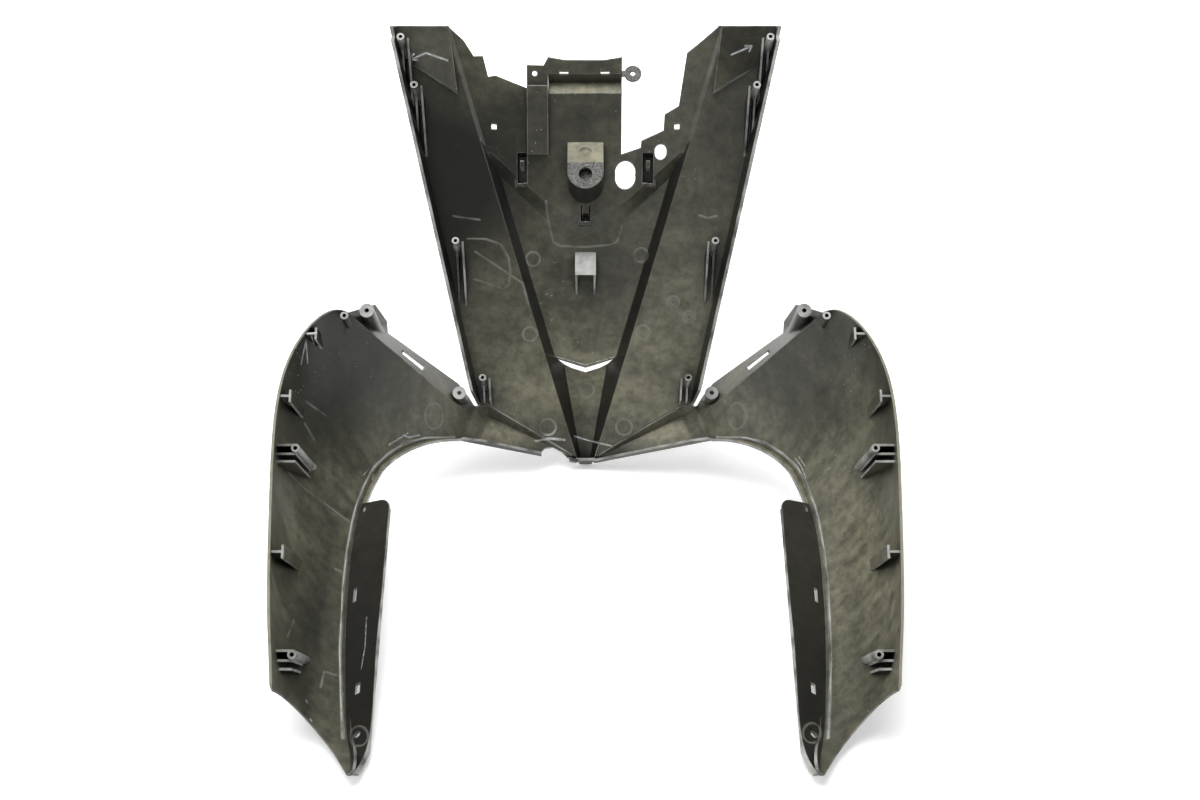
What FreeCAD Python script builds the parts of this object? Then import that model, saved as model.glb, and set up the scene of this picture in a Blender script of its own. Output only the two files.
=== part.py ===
# Front fairing of a scooter: one thin shell, moulded in one piece.
# It is modelled in its mould frame: X across, Y along the pull of the mould and forward, Z up the shield,
# with the origin at the foot of the nose. It is then turned to stand on its nose and its two leg tips.

import FreeCAD, Part
import math
import os
import re
import Sketcher

Vector = FreeCAD.Vector

NODE = "front_fairing_shell"

# Driving sizes, in millimetres and degrees.
SIZES = {
    "wall": 2.5,
    "rib_wall": 1.8,
    "rim_height": 4.0,
    # shield: two side panels, a proud centre panel between step walls, a recess above the chevron
    "panel_lean": 29.7,
    "panel_sweep": 6.84,
    "horn_top": 338.0,
    "horn_top_slope": 0.6,
    "side_foot_x": 99.0,
    "side_top_x": 166.0,
    "side_flange_depth": 34.0,
    "side_flange_flare": 4.5,
    "groove_foot_x": 9.6,
    "groove_angle": 18.4,
    "step_width": 9.5,
    "step_depth": 13.0,
    "recess_width": 4.0,
    "recess_depth": 3.0,
    "crown_share": 0.08,
    "chevron_foot": 190.5,
    "chevron_bend_x": 36.0,
    "chevron_bend_z": 204.0,
    "chevron_end_x": 83.0,
    "chevron_end_z": 240.0,
    "chevron_draft": 8.0,
    "vent_foot": 82.5,
    "vent_end_x": 29.0,
    "vent_end_z": 90.0,
    "vent_gap": 2.5,
    "tongue_top_width": 20.0,
    "tongue_top_depth": 23.0,
    "tongue_foot_width": 2.0,
    "tongue_foot_depth": 9.7,
    # band from the nose to the notch
    "notch_z": 44.5,
    "nose_side_x": 9.0,
    "nose_side_z": 3.6,
    "nose_ridge": 1.0,
    "nose_rim_depth": 5.0,
    "bevel_height": 8.0,
    "bevel_depth": 8.0,
    "bevel_edge": 0.6,
    "bevel_inset": 0.8,
    # leg flange with a rounded top and its mounting hole
    "leg_flange_top_x": 161.0,
    "leg_flange_top_y": 156.0,
    "leg_flange_top_z": 66.0,
    "leg_flange_foot_x": 152.0,
    "leg_flange_foot_y": 284.0,
    "leg_flange_foot_z": 283.0,
    "leg_flange_round": 9.0,
    "leg_hole_radius": 2.6,
    # step across the horns
    "horn_step": 7.0,
    # moulded posts, collars and bosses
    "post_radius": 3.3,
    "post_height": 34.0,
    "post_pilot": 1.6,
    "post_pilot_depth": 16.0,
    "gusset_length": 44.0,
    "gusset_drop": 14.0,
    "side_rib_offset": 6.0,
    "side_rib_drop": 2.0,
    "boss_rib_reach": 24.0,
    "boss_rib_drop": 3.0,
    "wing_rib_length": 16.0,
    "wing_rib_foot": 10.0,
    "wing_rib_inset": 3.0,
    "collar_radius": 6.0,
    "collar_bore": 1.9,
    "collar_length": 90.0,
    # details of the recess above the chevron
    "boss_half_width": 16.0,
    "boss_foot": 211.0,
    "boss_front": 156.5,
    "boss_shelf": 236.0,
    "boss_top": 258.0,
    "keyhole_radius": 6.0,
    "keyhole_slot": 4.0,
    "keyhole_depth": 8.0,
    "keyhole_z": 225.0,
    "dimple_radius": 6.0,
    "dimple_sphere": 13.0,
    "dimple_z": 247.0,
    "pocket_depth": 7.0,
    "channel_foot": 294.8,
    "channel_knee": 306.5,
    "channel_top": 309.0,
    "channel_depth": 9.0,
    "block_height": 6.0,
    "block_foot": 246.0,
    "left_tab_x": 44.7,
    "tab_radius": 7.5,
    "tab_hole": 2.3,
    "tab_z": 309.4,
    # bracket on the centre panel
    "bracket_half_width": 9.5,
    "bracket_foot": 141.0,
    "bracket_shelf": 153.0,
    "bracket_edge": 166.0,
    "bracket_top": 176.0,
    "bracket_height": 8.0,
}

# Stations of the right wing, from the notch to the leg tip: ridge point, outer edge point and bulge.
ROOT = ((114.5, -42.0, 10.3), (104.0, -37.8, 44.5), 0.0)
SHOULDER = [
    ((121.0, -46.0, 9.5), (114.5, -50.0, 38.6), 0.0),
    ((146.0, -62.0, 4.5), (142.0, -102.0, 52.4), 3.0),
    ((168.0, -86.0, -12.5), (169.5, -154.0, 66.2), 6.0),
    ((181.3, -104.0, -31.4), (197.0, -206.0, 80.0), 12.0),
]
LEG = [
    ((187.0, -121.0, -53.0), (218.4, -217.0, 70.0), 15.0),
    ((190.5, -136.0, -75.0), (234.5, -229.0, 38.0), 17.0),
    ((192.0, -157.0, -110.0), (240.9, -246.0, -15.0), 18.0),
    ((189.5, -182.0, -154.0), (236.0, -268.0, -90.0), 16.0),
    ((182.5, -217.0, -214.0), (225.5, -297.0, -182.0), 13.0),
    ((172.0, -256.0, -262.0), (216.0, -318.0, -243.0), 10.0),
    ((161.0, -298.0, -288.0), (207.0, -338.0, -290.0), 8.0),
]

# Bevel between the band and the side panel: share along the crease, share of the bevel's full size, and
# how far its strip laps past the cut that it fills.
BEVEL = [(0.05, 0.0, -0.006), (0.86, 1.0, 0.0), (0.97, 0.0, 0.006)]
# Free edge of the lamp flange, each point with its place along the stations of the wing's upper edge.
LAMP_EDGE = [
    (0.0, (109.7, -34.0, 53.5)), (1.0, (119.5, -42.0, 64.8)), (2.0, (139.5, -75.0, 72.4)),
    (3.0, (166.9, -112.0, 84.5)), (3.33, (174.1, -125.0, 86.8)), (3.67, (173.1, -140.0, 92.9)),
    (4.0, (182.6, -150.0, 105.0)),
]
# Slot along the lamp flange: places of its two ends, and its sides as shares of the flange's width.
LAMP_SLOT = (2.15, 2.75, 0.35, 0.62)

# Rear-view outlines, (x, z).
HORN_OPENING = [
    (-118.4, 339.6), (-105.8, 330.5), (-97.7, 319.5), (-89.6, 320.2), (-85.4, 305.0), (-79.1, 306.3),
    (-51.7, 298.0), (-51.7, 315.2), (-36.8, 315.2), (-33.0, 321.5), (-18.0, 319.6), (17.0, 319.6),
    (32.2, 321.5), (32.0, 248.5), (49.0, 253.0), (49.7, 258.4), (69.2, 265.3), (69.9, 277.5),
    (82.2, 283.3), (88.6, 322.4), (103.0, 331.6), (115.0, 340.0),
]
# Broken edge beside the nose, and the torn rear edge of the horn flanges in a side view, (y, z).
NOSE_BREAK = [(-41.2, 6.5), (-38.3, 9.5), (-30.8, 11.5), (-23.2, 7.8), (-15.5, 1.5)]
HORN_TEAR = [
    (-227.0, 350.0), (-232.0, 330.0), (-226.0, 321.0), (-232.0, 312.0), (-224.0, 303.0), (-236.0, 299.0),
]
# Step across the right horn: its outer side, flush with the panel, and its inner side, proud of it.
HORN_STEP_OUTER = [(149.9, 308.5), (161.0, 337.0)]
HORN_STEP_INNER = [(111.7, 288.9), (117.5, 336.0)]
LEG_FOOT = [(221.0, -221.0), (216.0, -231.0), (163.5, -288.0), (157.0, -288.0), (151.5, -272.0)]

# Screw posts of the right half: x and z of the ring.
PANEL_POSTS = [(156.5, 316.0), (146.4, 282.0), (114.4, 167.3), (93.0, 60.3)]
# Posts and ribs of the right wing: x, z and y of the top.
WING_POST = (195.1, 71.9, -220.0)
WING_BOSSES = [(224.3, -43.0, -241.0), (208.0, -205.0, -291.0)]
BOSS_RIB_RISES = (3.0, -4.0, -10.0)
WING_RIBS = [(219.0, 56.0, -222.0), (233.0, -1.0, -240.0), (223.7, -129.5, -278.0)]
COLLARS = [(180.4, 83.0, -200.0), (115.0, 49.6, -66.0)]

# Slots through the leg flange: centre, and half its length along and across the leg.
LEG_SLOTS = [
    ((182.8, -140.0, -73.5), 2.6, 1.2),
    ((182.8, -190.0, -149.3), 6.5, 1.4),
    ((170.0, -240.0, -224.4), 4.4, 2.2),
]
LEG_HOLE = (162.5, -262.0, -260.3)

# Openings through the recess, rear view: centre x and z, width and height.
RECESS_WINDOWS = [
    (-81.0, 268.0, 4.4, 4.4), (81.0, 268.0, 4.4, 4.4), (-19.0, 310.6, 7.4, 2.0), (17.2, 310.6, 7.4, 2.0),
]
# Blind clip pockets: centre x, width, foot and top, then the width, foot and top of the hook left in each.
POCKETS = [
    (-56.5, 8.6, 226.0, 249.0, 3.6, 238.0, 243.0), (55.8, 9.6, 226.0, 249.0, 3.6, 238.0, 243.0),
    (0.0, 9.0, 197.5, 209.5, 6.0, 203.5, 209.5),
]
# Round openings through the recess, right side: x, z and radius.
RECESS_HOLES = [(35.6, 230.6, 9.0), (35.6, 235.0, 9.0), (66.9, 248.5, 5.2), (66.9, 250.5, 5.2)]

doc = FreeCAD.newDocument("front_fairing")
sheet = doc.addObject("Spreadsheet::Sheet", "sizes")
for row, (alias, value) in enumerate(SIZES.items(), start=1):
    sheet.set("A%d" % row, alias)
    sheet.set("B%d" % row, str(value))
    sheet.setAlias("B%d" % row, alias)
doc.recompute()


def size(alias):
    return float(sheet.get(alias))


WALL = size("wall")
LEAN = math.tan(math.radians(size("panel_lean")))
SWEEP = math.tan(math.radians(size("panel_sweep")))
GROOVE = math.tan(math.radians(size("groove_angle")))
LEVEL_WALL = WALL / math.cos(math.radians(size("panel_lean")))
FAR = 500.0

# Turns that lay a sketch in a plane of the mould frame, or a cylinder along the pull.
REAR_VIEW = FreeCAD.Rotation(Vector(1, 0, 0), 90)
SIDE_VIEW = FreeCAD.Rotation(Vector(1, 1, 1), 120)
ALONG_PULL = FreeCAD.Rotation(Vector(1, 0, 0), -90)


def formula(text):
    """An expression on the sheet's cells from one on their aliases."""
    return re.sub(r"[a-z][a-z_0-9]*", r"sizes.\g<0>", text)


def bind(obj, **formulas):
    for prop, text in formulas.items():
        obj.setExpression(prop, formula(text))
    return obj


def feature(name, shape):
    obj = doc.addObject("Part::Feature", name)
    obj.Shape = shape
    return obj


def loft(name, wires, ruled):
    obj = doc.addObject("Part::Loft", name)
    obj.Sections = [feature("%s_section_%d" % (name, i), wire) for i, wire in enumerate(wires)]
    obj.Solid = True
    obj.Ruled = ruled
    return obj


def fuse(name, objects):
    obj = doc.addObject("Part::MultiFuse", name)
    obj.Shapes = objects
    return obj


def common(name, first, second):
    obj = doc.addObject("Part::MultiCommon", name)
    obj.Shapes = [first, second]
    return obj


def cut(name, base, tool):
    obj = doc.addObject("Part::Cut", name)
    obj.Base = base
    obj.Tool = tool
    return obj


def mirror(name, source):
    obj = doc.addObject("Part::Mirroring", name)
    obj.Source = source
    obj.Normal = Vector(1, 0, 0)
    return obj


def unit(v):
    return v * (1.0 / v.Length)


def forward_normal(along, across):
    normal = unit(along.cross(across))
    return normal if normal.y > 0 else normal * -1.0


def bow(start, middle, end):
    """A parabola through three points."""
    curve = Part.BezierCurve()
    curve.setPoles([start, middle * 2 - (start + end) * 0.5, end])
    return curve.toShape()


def arc(start, middle, end):
    return Part.Arc(start, middle, end).toShape()


def line(start, end):
    return Part.LineSegment(start, end).toShape()


def polygon(points):
    return Part.makePolygon(list(points) + [points[0]])


def outline(name, points, turn, base):
    """A sketch of straight lines through points, each coordinate a number or a formula on the sheet."""
    sketch = doc.addObject("Sketcher::SketchObject", name)
    sketch.Placement = FreeCAD.Placement(base, turn)
    count = len(points)
    for i in range(count):
        sketch.addGeometry(Part.LineSegment(Vector(i, i * i, 0), Vector(i + 1, (i + 1) ** 2, 0)), False)
    for i in range(count):
        sketch.addConstraint(Sketcher.Constraint("Coincident", i, 2, (i + 1) % count, 1))
    for i, point in enumerate(points):
        for kind, value in zip(("DistanceX", "DistanceY"), point):
            index = sketch.addConstraint(Sketcher.Constraint(kind, -1, 1, i, 1, 1.0))
            if isinstance(value, str):
                sketch.setExpression("Constraints[%d]" % index, formula(value))
            else:
                sketch.setDatum(index, float(value))
    return sketch


def extrude(name, sketch, direction, length):
    obj = doc.addObject("Part::Extrusion", name)
    obj.Base = sketch
    obj.DirMode = "Custom"
    obj.Dir = direction
    obj.LengthFwd = length
    obj.Solid = True
    return obj


def rear_prism(name, points, y_from, y_to, slope=0.0):
    """A solid of a rear-view outline along the pull; slope tips its walls up towards the front."""
    sketch = outline(name + "_outline", points, REAR_VIEW, Vector(0, y_from, 0))
    depth = y_to - y_from
    direction = Vector(0, 1, slope)
    return extrude(name, sketch, direction, depth * direction.Length)


def side_plate(name, x, points, thickness):
    """A plate of a side-view outline, (y, z), centred on one x."""
    sketch = outline(name + "_outline", points, SIDE_VIEW, Vector(x - thickness / 2, 0, 0))
    return extrude(name, sketch, Vector(1, 0, 0), thickness)


def pull_cylinder(name, x, y, z, radius, length):
    obj = doc.addObject("Part::Cylinder", name)
    obj.Placement = FreeCAD.Placement(Vector(x, y, z), ALONG_PULL)
    return bind(obj, Radius=radius, Height=length)


def block(name, corner, sizes_xyz):
    obj = doc.addObject("Part::Box", name)
    obj.Placement = FreeCAD.Placement(Vector(*corner), FreeCAD.Rotation())
    obj.Length, obj.Width, obj.Height = sizes_xyz
    return obj


# Shield

def panel_y(x, z):
    return -LEAN * z - SWEEP * abs(x)


def groove_x(z):
    return size("groove_foot_x") + GROOVE * z


def side_x(z):
    slope = (size("side_top_x") - size("side_foot_x")) / (size("horn_top") - size("notch_z"))
    return size("side_foot_x") + slope * (z - size("notch_z"))


def shield_path(z, width, depth):
    """The outer line of the shield at one height, from the right side flange to the left one."""
    corner = side_x(z)
    groove = groove_x(z)
    edge = groove - width
    half = [
        (corner + size("side_flange_flare"), panel_y(corner, z) - size("side_flange_depth")),
        (corner, panel_y(corner, z)),
        (groove, panel_y(groove, z)),
        (edge, panel_y(edge, z) + depth),
    ]
    crown = [(0.0, panel_y(edge, z) + depth + size("crown_share") * edge)]
    return half + crown + [(-x, y) for x, y in reversed(half)]


def inner_path(path):
    """The path moved by the wall towards the inside of the shell, with mitred corners."""
    def inward(a, b):
        dx, dy = b[0] - a[0], b[1] - a[1]
        length = math.hypot(dx, dy)
        return (-dy / length, dx / length)

    normals = [inward(a, b) for a, b in zip(path, path[1:])]
    moved = []
    for i, (x, y) in enumerate(path):
        before = normals[max(i - 1, 0)]
        after = normals[min(i, len(normals) - 1)]
        share = 1.0 + before[0] * after[0] + before[1] * after[1]
        moved.append((x + LEVEL_WALL * (before[0] + after[0]) / share,
                      y + LEVEL_WALL * (before[1] + after[1]) / share))
    return moved


def path_edges(path, z):
    """Edges along a path: lines, and one arc over the crown in its middle."""
    points = [Vector(x, y, z) for x, y in path]
    crown = len(points) // 2
    edges = [line(a, b) for a, b in zip(points[:crown], points[1:crown])]
    edges.append(arc(points[crown - 1], points[crown], points[crown + 1]))
    return edges + [line(a, b) for a, b in zip(points[crown + 1:], points[crown + 2:])]


def path_loop(front, back, z):
    """A closed wire of one path there and another back."""
    back = back[::-1]
    ends = [line(Vector(*a, z), Vector(*b, z)) for a, b in ((front[-1], back[0]), (back[-1], front[0]))]
    return Part.Wire(path_edges(front, z) + ends[:1] + path_edges(back, z) + ends[1:])


def shield_strip(z, width, depth):
    path = shield_path(z, width, depth)
    return path_loop(path, inner_path(path), z)


def shield_slab(z, outer, inner):
    """Section between the outer line of one zone and the inner line of a shallower zone."""
    back = [(x, y - LEVEL_WALL) for x, y in shield_path(z, *inner)]
    return path_loop(shield_path(z, *outer), back, z)


def shield_backing(z, width, depth):
    """Section of all that lies behind the middle of the wall."""
    path = [(x, y - LEVEL_WALL / 2) for x, y in shield_path(z, width, depth)[1:-1]]
    right, left = path[0], path[-1]
    corners = [Vector(*left, z), Vector(left[0], -FAR, z), Vector(right[0], -FAR, z), Vector(*right, z)]
    return Part.Wire(path_edges(path, z) + [line(a, b) for a, b in zip(corners, corners[1:])])


def zone_y(zone, x, z):
    """The outer face of one zone of the shield, over its crown."""
    width, depth = zone
    edge = groove_x(z) - width
    return panel_y(edge, z) + depth + size("crown_share") * edge * (1.0 - (x / edge) ** 2)


CENTRE_ZONE = (size("step_width"), size("step_depth"))
RECESS_ZONE = (size("recess_width"), size("recess_depth"))
TONGUE_TOP = (size("tongue_top_width"), size("tongue_top_depth"))
TONGUE_FOOT = (size("tongue_foot_width"), size("tongue_foot_depth"))

zone_overlap = 110.0
foot_z = -12.0
vent_top = size("vent_end_z") + 20.0
vent_low = size("vent_foot") - 20.0
chevron_top = size("chevron_end_z") + zone_overlap
chevron_low = size("chevron_foot") - zone_overlap
horn_z = size("horn_top") + zone_overlap

tongue_strip = loft("tongue_strip", [
    shield_strip(foot_z, *TONGUE_FOOT),
    shield_strip(vent_top, *TONGUE_TOP),
], True)
centre_strip = loft("centre_strip", [
    shield_strip(vent_low, *CENTRE_ZONE),
    shield_strip(chevron_top, *CENTRE_ZONE),
], True)
recess_strip = loft("recess_strip", [
    shield_strip(chevron_low, *RECESS_ZONE),
    shield_strip(horn_z, *RECESS_ZONE),
], True)


def vee_line(points):
    """A line across the shield, given from the centre to the right end and mirrored to the left."""
    def opposite(x):
        return "-" + x if isinstance(x, str) else -x

    return points[::-1] + [(opposite(x), z) for x, z in points[1:]]


def below(line):
    return line + [(-FAR, -3 * FAR), (FAR, -3 * FAR)]


def above(line):
    return line + [(-FAR, 3 * FAR), (FAR, 3 * FAR)]


vent_line = vee_line([(0.0, "vent_foot"), ("vent_end_x", "vent_end_z"), (FAR, "vent_end_z")])
vent_below = rear_prism("vent_below", below(vent_line), -FAR, FAR)
vent_above = rear_prism("vent_above", above(vent_line), -FAR, FAR)

# The chevron wall slants: it cuts the outer face of the centre panel along the chevron line.
chevron_slant = -size("chevron_draft") / size("step_depth")
chevron_points = [
    (0.0, size("chevron_foot")),
    (size("chevron_bend_x"), size("chevron_bend_z")),
    (size("chevron_end_x"), size("chevron_end_z")),
]


def chevron_prism(name, side, drop):
    line = [(x, z - chevron_slant * (zone_y(CENTRE_ZONE, x, z) + FAR) - drop) for x, z in chevron_points]
    line.append((FAR, line[-1][1]))
    return rear_prism(name, side(vee_line(line)), -FAR, FAR, chevron_slant)


chevron_above = chevron_prism("chevron_above", above, 0.0)
chevron_below = chevron_prism("chevron_below", below, 0.0)
chevron_under = chevron_prism("chevron_under", below, 1.2 * WALL)
chevron_slab = loft("chevron_slab", [
    shield_slab(chevron_low, CENTRE_ZONE, RECESS_ZONE),
    shield_slab(chevron_top, CENTRE_ZONE, RECESS_ZONE),
], True)
chevron_wall = common("chevron_wall", chevron_slab, cut("chevron_band", chevron_below, chevron_under))

tongue_skin = common("tongue_skin", tongue_strip, vent_below)
centre_skin = cut("centre_skin", common("centre_above_vent", centre_strip, vent_above), chevron_above)
recess_skin = cut("recess_skin", recess_strip, chevron_below)
shield_blank = fuse("shield_blank", [tongue_skin, centre_skin, recess_skin, chevron_wall])


# Band and wings

def wall_section(ridge, edge, bulge, normal):
    """Section of the wing wall: an arched strip from the ridge to the edge, with a rim at the ridge."""
    lift = normal * WALL
    rim = normal * size("rim_height")
    root = ridge - lift + unit(edge - ridge) * WALL
    inner_edge = edge - lift
    outer_mid = (ridge + edge) * 0.5 + normal * bulge
    inner_mid = (root + inner_edge) * 0.5 + normal * bulge
    rim_inside = root - rim
    rim_outside = ridge - lift - rim
    return Part.Wire([
        bow(ridge, outer_mid, edge),
        line(edge, inner_edge),
        bow(inner_edge, inner_mid, root),
        line(root, rim_inside),
        line(rim_inside, rim_outside),
        line(rim_outside, ridge),
    ])


def wing_backing_section(ridge, edge, bulge, normal):
    """Section of all that lies behind the middle of the wing wall."""
    depth = 70.0
    near_ridge = ridge - normal * (WALL / 2)
    near_edge = edge - normal * (WALL / 2)
    middle = (near_ridge + near_edge) * 0.5 + normal * bulge
    far_ridge = near_ridge - normal * depth
    far_edge = near_edge - normal * depth
    return Part.Wire([
        bow(near_ridge, middle, near_edge),
        line(near_edge, far_edge),
        line(far_edge, far_ridge),
        line(far_ridge, near_ridge),
    ])


def flange_section(root, free_edge, along):
    """Section of a flange: a flat strip from the middle of the wing wall to its free edge."""
    half = forward_normal(along, free_edge - root) * (WALL / 2)
    return polygon([root + half, root - half, free_edge - half, free_edge + half])


stations = [(Vector(*ridge), Vector(*edge), bulge) for ridge, edge, bulge in [ROOT] + SHOULDER + LEG]
nose_x, nose_z = size("nose_side_x"), size("nose_side_z")
nose_edge = Vector(nose_x, panel_y(nose_x, nose_z), nose_z)
nose_ridge = Vector(nose_x, size("nose_ridge"), -size("nose_ridge"))
root_ridge, root_edge, root_bulge = stations[0]
root_edge.y = panel_y(root_edge.x, root_edge.z)
band_normal = forward_normal(root_edge - nose_edge, root_edge - root_ridge)

normals = [band_normal]
for before, here, after in zip(stations, stations[1:], stations[2:] + stations[-1:]):
    along = (after[0] + after[1]) - (before[0] + before[1])
    normals.append(forward_normal(along, here[1] - here[0]))
sections = [station + (normal,) for station, normal in zip(stations, normals)]
shoulder_sections = sections[1:5]
leg_sections = sections[4:]

# The band sinks below the panel along its upper edge, and a bevel faces the step
crease = unit(root_edge - nose_edge)


def bevel_section(lower, upper):
    up = unit(upper - lower)
    lift = forward_normal(crease, up) * WALL
    foot = lower - up * (0.3 * WALL)
    top = upper + up * (0.3 * WALL)
    return polygon([foot, top, top - lift, foot - lift])


def bevel_points(share, part):
    """The sunk edge of the band and the edge of the panel above it, at one share along the crease."""
    edge = nose_edge + crease * (share * (root_edge - nose_edge).Length)
    top_z = edge.z + size("bevel_edge") + (size("bevel_height") - size("bevel_edge")) * part
    return edge + Vector(0, size("bevel_depth") * part, 0), Vector(edge.x, panel_y(edge.x, top_z), top_z)


inset = Vector(0, -size("bevel_inset"), 0)
band_wires = [wall_section(nose_ridge, nose_edge, 0.0, band_normal)]
bevel_wires, bevel_low, bevel_high = [], [], []
for share, part, lap in BEVEL:
    lower, upper = bevel_points(share, part)
    ridge = nose_ridge + (root_ridge - nose_ridge) * share
    sunk_normal = forward_normal(crease, lower - ridge)
    band_wires.append(wall_section(ridge, lower, 0.0, sunk_normal if part > 0 else band_normal))
    bevel_wires.append(bevel_section(*[point + inset for point in bevel_points(share + lap, part)]))
    bevel_low.append((lower.x, lower.z))
    bevel_high.append((upper.x, upper.z))
band = loft("band", band_wires + [wall_section(*sections[0])], True)
bevel_strip = loft("bevel_strip", bevel_wires, True)
root = loft("root", [wall_section(*s) for s in sections[:2]], True)
shoulder = loft("shoulder", [wall_section(*s) for s in shoulder_sections], False)
leg = loft("leg", [wall_section(*s) for s in leg_sections], False)

# Leg flange: from the ridge inwards and back, with a rounded top
flange_top = Vector(size("leg_flange_top_x"), -size("leg_flange_top_y"), -size("leg_flange_top_z"))
flange_foot = Vector(size("leg_flange_foot_x"), -size("leg_flange_foot_y"), -size("leg_flange_foot_z"))


def flange_edge(z):
    return flange_top + (flange_foot - flange_top) * ((z - flange_top.z) / (flange_foot.z - flange_top.z))


leg_flange_wires = []
for ridge, edge, bulge, normal in leg_sections[1:]:
    inside_wall = ridge + (unit(edge - ridge) - normal) * (WALL / 2)
    leg_flange_wires.append(flange_section(inside_wall, flange_edge(ridge.z), flange_foot - flange_top))
leg_flange_blank = loft("leg_flange_blank", leg_flange_wires, False)

# Lamp flange: forward from the wing's upper edge, with a blunt upper end
lamp_sections = sections[:5]
lamp_along = lamp_sections[-1][1] - lamp_sections[1][1]


def lamp_root(place):
    """The middle of the wing's wall at its upper edge, at a place along the stations."""
    first = min(int(place), len(lamp_sections) - 2)
    share = place - first
    ends = []
    for ridge, edge, bulge, normal in lamp_sections[first:first + 2]:
        ends.append(edge + (unit(ridge - edge) - normal) * (WALL / 2))
    return ends[0] + (ends[1] - ends[0]) * share


def lamp_free(place):
    """The free edge of the lamp flange at a place along the stations."""
    for (low, start), (high, end) in zip(LAMP_EDGE, LAMP_EDGE[1:]):
        if low <= place <= high:
            return Vector(*start) + (Vector(*end) - Vector(*start)) * ((place - low) / (high - low))


lamp_flange_blank = loft("lamp_flange_blank", [
    flange_section(lamp_root(place), Vector(*free), lamp_along) for place, free in LAMP_EDGE], True)

# The slot is cut along the pull, from its corners in the rear view
slot_from, slot_to, slot_low, slot_high = LAMP_SLOT
slot_sides = []
for share in (slot_low, slot_high):
    ends = [lamp_root(p) + (lamp_free(p) - lamp_root(p)) * share for p in (slot_from, slot_to)]
    slot_sides.append([(end.x, end.z) for end in ends])
lamp_slot = rear_prism("lamp_slot", slot_sides[0] + slot_sides[1][::-1], -FAR, FAR)
lamp_flange = cut("lamp_flange", lamp_flange_blank, lamp_slot)

round_size = size("leg_flange_round")
round_foot = Vector(flange_top.x, -FAR, flange_top.z - round_size)
round_middle = Vector(flange_top.x + 0.3 * round_size, -FAR, flange_top.z - 0.3 * round_size)
round_top = Vector(flange_top.x + round_size, -FAR, flange_top.z)
flange_corners = [
    round_top, Vector(FAR, -FAR, flange_top.z), Vector(FAR, -FAR, -FAR), Vector(0, -FAR, -FAR),
    Vector(0, -FAR, flange_foot.z), round_foot,
]
flange_sides = [line(a, b) for a, b in zip(flange_corners, flange_corners[1:])]
leg_flange_outline = Part.Wire([arc(round_foot, round_middle, round_top)] + flange_sides)
leg_flange_prism = feature("leg_flange_prism", Part.Face(leg_flange_outline).extrude(Vector(0, 2 * FAR, 0)))
leg_flange_whole = common("leg_flange_whole", leg_flange_blank, leg_flange_prism)

# Slots and the mounting hole of the leg flange, square to it
leg_along = unit(flange_foot - flange_top)
leg_middle = leg_sections[len(leg_sections) // 2][0]
leg_normal = forward_normal(leg_along, flange_edge(leg_middle.z) - leg_middle)
leg_across = leg_along.cross(leg_normal)
slot_depth = 12.0
leg_cuts = []
for i, (centre, half_length, half_width) in enumerate(LEG_SLOTS):
    start = Vector(*centre) - leg_normal * slot_depth
    corners = [start + leg_along * (half_length * a) + leg_across * (half_width * b)
               for a, b in ((-1, -1), (1, -1), (1, 1), (-1, 1))]
    slot = Part.Face(polygon(corners)).extrude(leg_normal * (2 * slot_depth))
    leg_cuts.append(feature("leg_slot_%d" % i, slot))
leg_hole = doc.addObject("Part::Cylinder", "leg_hole")
leg_hole.Placement = FreeCAD.Placement(
    Vector(*LEG_HOLE) - leg_normal * slot_depth, FreeCAD.Rotation(Vector(0, 0, 1), leg_normal))
leg_cuts.append(bind(leg_hole, Radius="leg_hole_radius", Height="%.1f" % (2 * slot_depth)))
leg_flange = cut("leg_flange", leg_flange_whole, fuse("leg_cuts", leg_cuts))

# Posts, bosses and ribs of the right half, over-long and trimmed at the middle of the wall
panel_ribs = []
pilots = []
for i, (x, z) in enumerate(PANEL_POSTS):
    top = panel_y(x, z) - size("post_height")
    name = "panel_post_%d" % i
    panel_ribs.append(pull_cylinder(name, x, top, z, "post_radius", "2 * post_height"))
    pilots.append(pull_cylinder(name + "_pilot", x, top - 1, z, "post_pilot", "post_pilot_depth"))
    foot = z - size("gusset_length")
    front = top + 2 * size("post_height")
    rib_base = [(front, z), (front, foot), (panel_y(x, foot), foot)]
    gusset = [(top + size("gusset_drop"), z)] + rib_base
    panel_ribs.append(side_plate("panel_gusset_%d" % i, x, gusset, size("rib_wall")))
    side_rib = [(top + size("side_rib_drop"), z)] + rib_base
    side_rib_x = x - size("side_rib_offset")
    panel_ribs.append(side_plate("panel_side_rib_%d" % i, side_rib_x, side_rib, size("rib_wall")))
recess_backing = loft("recess_backing", [
    shield_backing(foot_z, *RECESS_ZONE), shield_backing(horn_z, *RECESS_ZONE)], True)
panel_posts = common("panel_posts", fuse("panel_post_blanks", panel_ribs), recess_backing)

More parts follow.
